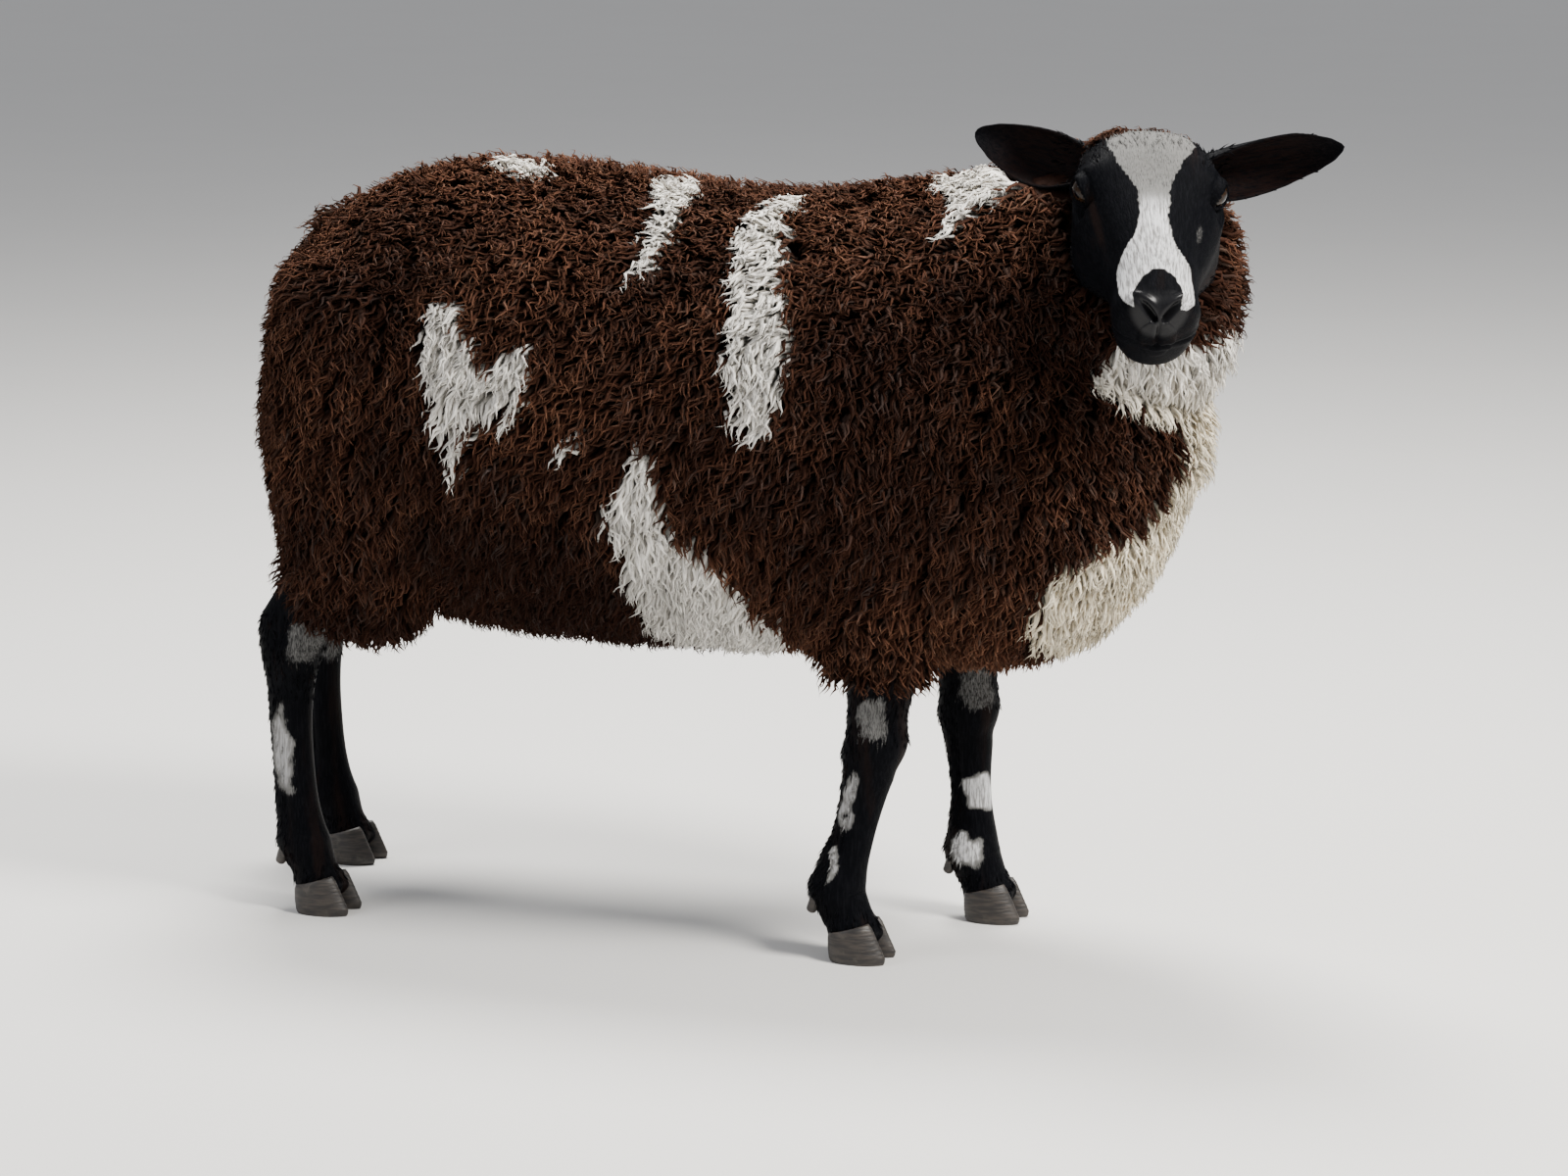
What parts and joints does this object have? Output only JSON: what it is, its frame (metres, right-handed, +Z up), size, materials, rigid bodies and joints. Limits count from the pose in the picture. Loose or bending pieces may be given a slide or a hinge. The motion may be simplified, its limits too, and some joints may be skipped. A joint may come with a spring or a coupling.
{
  "type": "dutch spotted ram",
  "caption": "Hornless dark brown ram with white spots in a deep curly fleece, standing with its head turned to its right, ears out to the sides, black legs and a white blaze.",
  "frame": {"origin": "centre of the bounding box on the floor plane, under the hooves' flat soles", "axes": "+X from the tail to the chest along the trunk, +Y to the ram's left, +Z up"},
  "size_m": [1.114, 0.4342, 0.7902],
  "materials": {
    "fleece": "dark brown wool",
    "face": "short black hair",
    "leg": "short black hair",
    "eye": "wet, dark brown",
    "hoof": "dull horn"
  },
  "bodies": {
    "root": {"head": "face", "ear_right": "face", "ear_left": "face", "eye_right": "eye", "eye_left": "eye", "neck": "fleece", "torso": "fleece", "tail": "fleece", "upper_foreleg_right": "fleece", "upper_foreleg_left": "fleece", "thigh_right": "fleece", "thigh_left": "fleece", "foreleg_right": "leg", "foreleg_left": "leg", "hindleg_right": "leg", "hindleg_left": "leg", "forehoof_right_inner": "hoof", "forehoof_right_outer": "hoof", "forehoof_left_inner": "hoof", "forehoof_left_outer": "hoof", "hindhoof_right_inner": "hoof", "hindhoof_right_outer": "hoof", "hindhoof_left_inner": "hoof", "hindhoof_left_outer": "hoof"}
  },
  "joints": []
}
